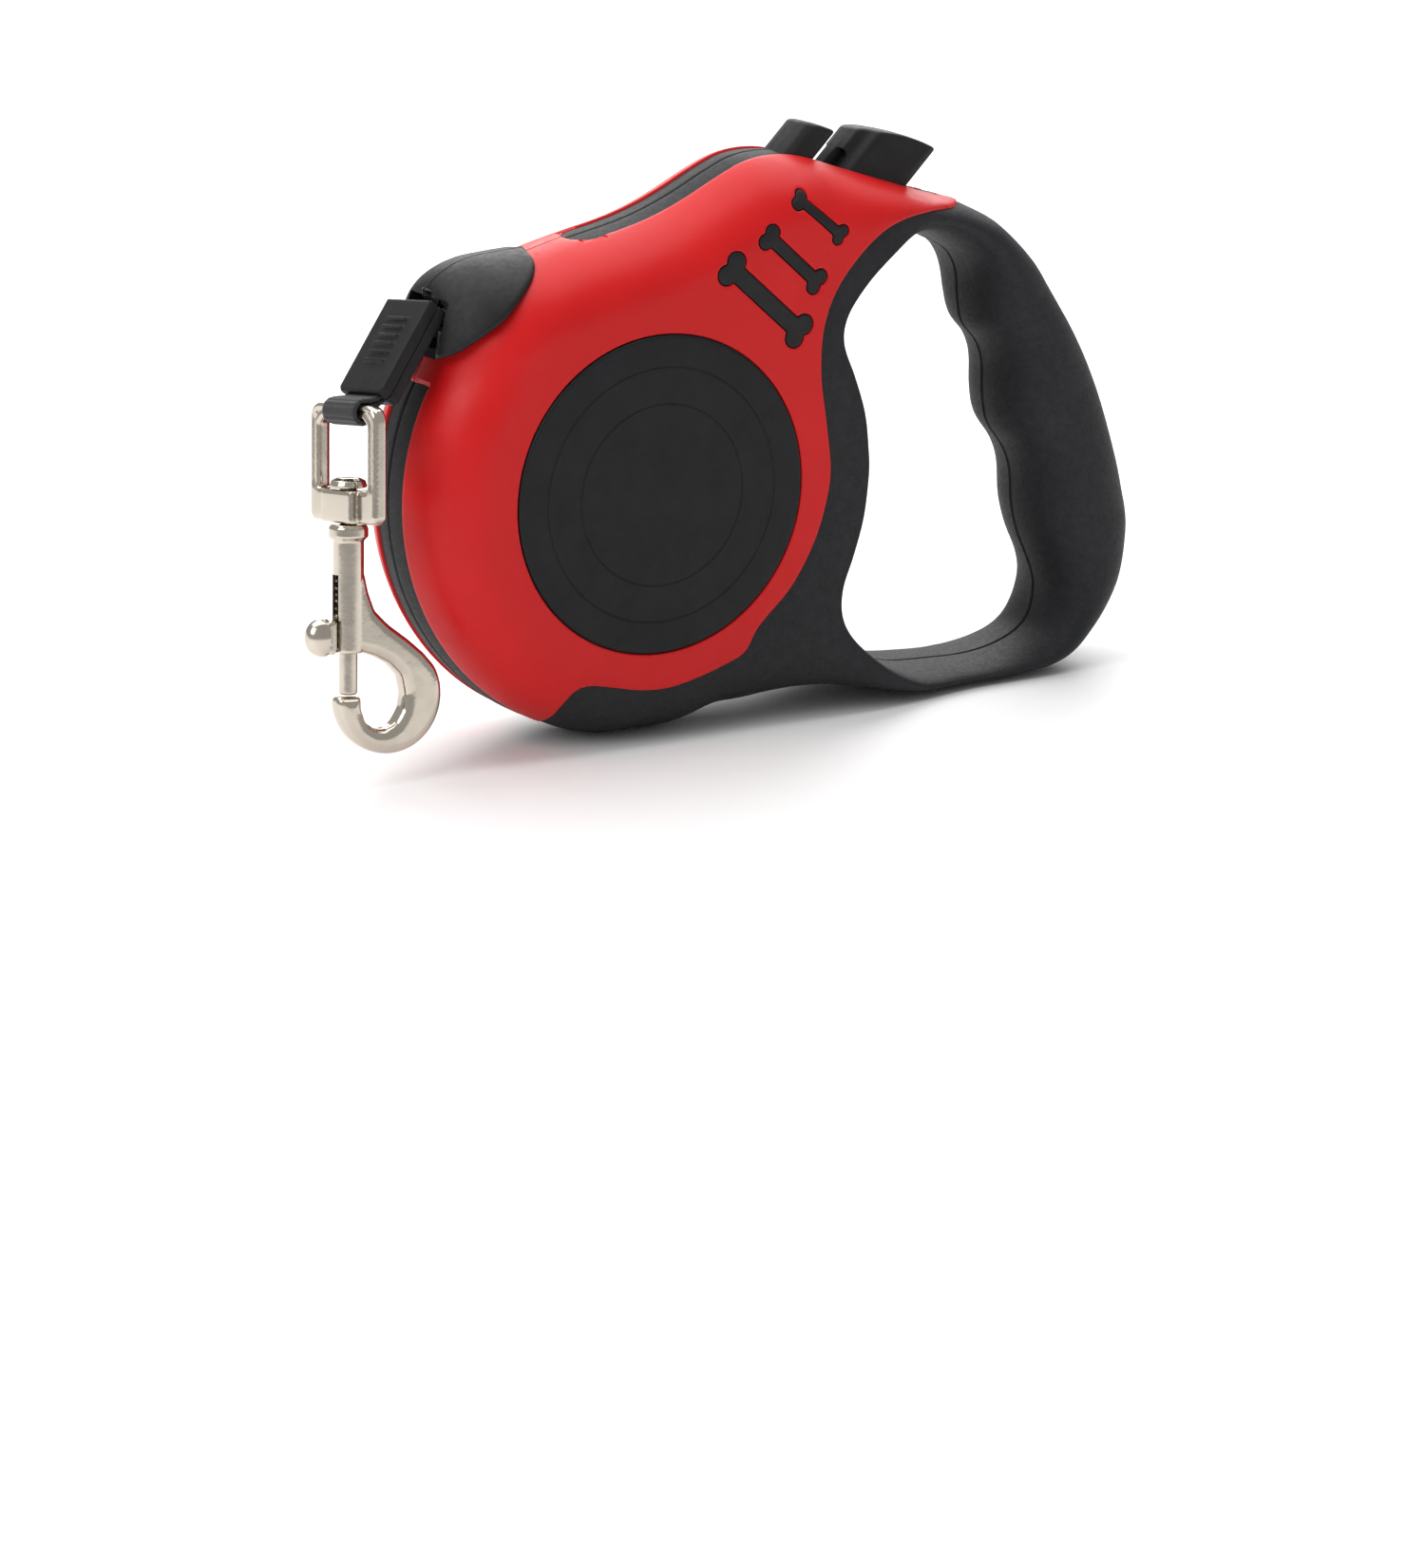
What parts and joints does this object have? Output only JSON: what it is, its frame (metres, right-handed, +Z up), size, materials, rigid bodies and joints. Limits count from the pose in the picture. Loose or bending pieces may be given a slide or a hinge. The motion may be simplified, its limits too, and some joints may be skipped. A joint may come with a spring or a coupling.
{
  "type": "retractable leash",
  "caption": "Hand-held reel casing with a loop grip, a sprung tape spool, brake and lock buttons, and a swivel snap hook on a tape clip.",
  "frame": {"origin": "centre of the footprint, on the surface that the casing stands on", "axes": "+X from the hook towards the hand grip, +Y across the casing away from its front face, +Z up"},
  "size_m": [0.177, 0.0344, 0.1088],
  "materials": {
    "cover_red": "satin red ABS with fine texture",
    "grip_black": "matte fine-grained soft-touch black",
    "trim_black": "fine matte moulded black",
    "dial_black": "fine matte black with faint turned rings",
    "webbing": "ribbed black nylon tape",
    "nickel": "warm bright nickel plate on zinc casting",
    "zinc_steel": "zinc plated",
    "spring_steel": "blued spring steel",
    "spool_nylon": "natural nylon moulding"
  },
  "bodies": {
    "housing": {"housing_front_half": "grip_black", "cover_panel_front": "cover_red", "nozzle_front_half": "trim_black", "dial_cover_front": "dial_black", "bone_inlay_large_front": "trim_black", "bone_inlay_medium_front": "trim_black", "bone_inlay_small_front": "trim_black", "housing_back_half": "grip_black", "cover_panel_back": "cover_red", "nozzle_back_half": "trim_black", "dial_cover_back": "dial_black", "bone_inlay_large_back": "trim_black", "bone_inlay_medium_back": "trim_black", "bone_inlay_small_back": "trim_black", "housing_screw_top": "zinc_steel", "housing_screw_grip_upper": "zinc_steel", "housing_screw_grip_lower": "zinc_steel", "housing_screw_base": "zinc_steel", "guide_pin_upper": "zinc_steel", "guide_pin_lower": "zinc_steel", "reel_axle": "zinc_steel", "tape_run": "webbing", "brake_spring": "spring_steel", "lock_spring": "spring_steel"},
    "spool": {"spool_body": "spool_nylon", "spool_flange": "spool_nylon", "spring_cover": "spool_nylon", "mainspring": "spring_steel", "tape_pack": "webbing"},
    "tape_lead": {"tape_end": "webbing"},
    "clip": {"clip_front_shell": "trim_black", "clip_back_shell": "trim_black", "tape_loop": "webbing"},
    "eye": {"swivel_eye": "nickel"},
    "hook": {"hook_body": "nickel", "gate_spring": "spring_steel"},
    "gate": {"gate_bolt": "nickel"},
    "brake": {"brake_button": "trim_black", "brake_pawl": "zinc_steel"},
    "lock": {"lock_button": "trim_black"}
  },
  "joints": [
    {"name": "spool_spin", "type": "hinge", "parent": "housing", "child": "spool", "pos_m": [-0.0209, 0, 0.0463], "axis": [0, -1, 0], "range_deg": [0, 5762]},
    {"name": "tape_pull", "type": "slide", "parent": "housing", "child": "tape_lead", "axis": [-1, 0, 0], "range_m": [0, 3], "stiffness_N_per_m": 1, "springref_m": -4},
    {"name": "clip_fold", "type": "hinge", "parent": "tape_lead", "child": "clip", "pos_m": [-0.0612, 0, 0.0807], "axis": [0, 1, 0], "range_deg": [0, 50]},
    {"name": "eye_swing", "type": "hinge", "parent": "clip", "child": "eye", "pos_m": [-0.07737, -0.00573, 0.06563], "axis": [-0.2066, 0.9734, -0.0995], "range_deg": [0, 110]},
    {"name": "hook_swivel", "type": "hinge", "parent": "eye", "child": "hook", "pos_m": [-0.07737, -0.00573, 0.06563], "axis": [0.0751, 0.1172, 0.9903], "continuous": true},
    {"name": "gate_slide", "type": "slide", "parent": "hook", "child": "gate", "axis": [0.0751, 0.1172, 0.9903], "range_m": [0, 0.0074], "stiffness_N_per_m": 300, "springref_m": -0.003, "deforming": ["gate_spring"]},
    {"name": "brake_press", "type": "slide", "parent": "housing", "child": "brake", "axis": [-0.7071, 0, -0.7071], "range_m": [0, 0.0045], "stiffness_N_per_m": 900, "springref_m": -0.002, "deforming": ["brake_spring"]},
    {"name": "lock_press", "type": "slide", "parent": "housing", "child": "lock", "axis": [-0.7071, 0, -0.7071], "range_m": [0, 0.003], "stiffness_N_per_m": 500, "springref_m": -0.002, "deforming": ["lock_spring"]}
  ],
  "couplings": [
    {"joint": "spool_spin", "follows": "tape_pull", "rad_per_m": 33.51}
  ]
}
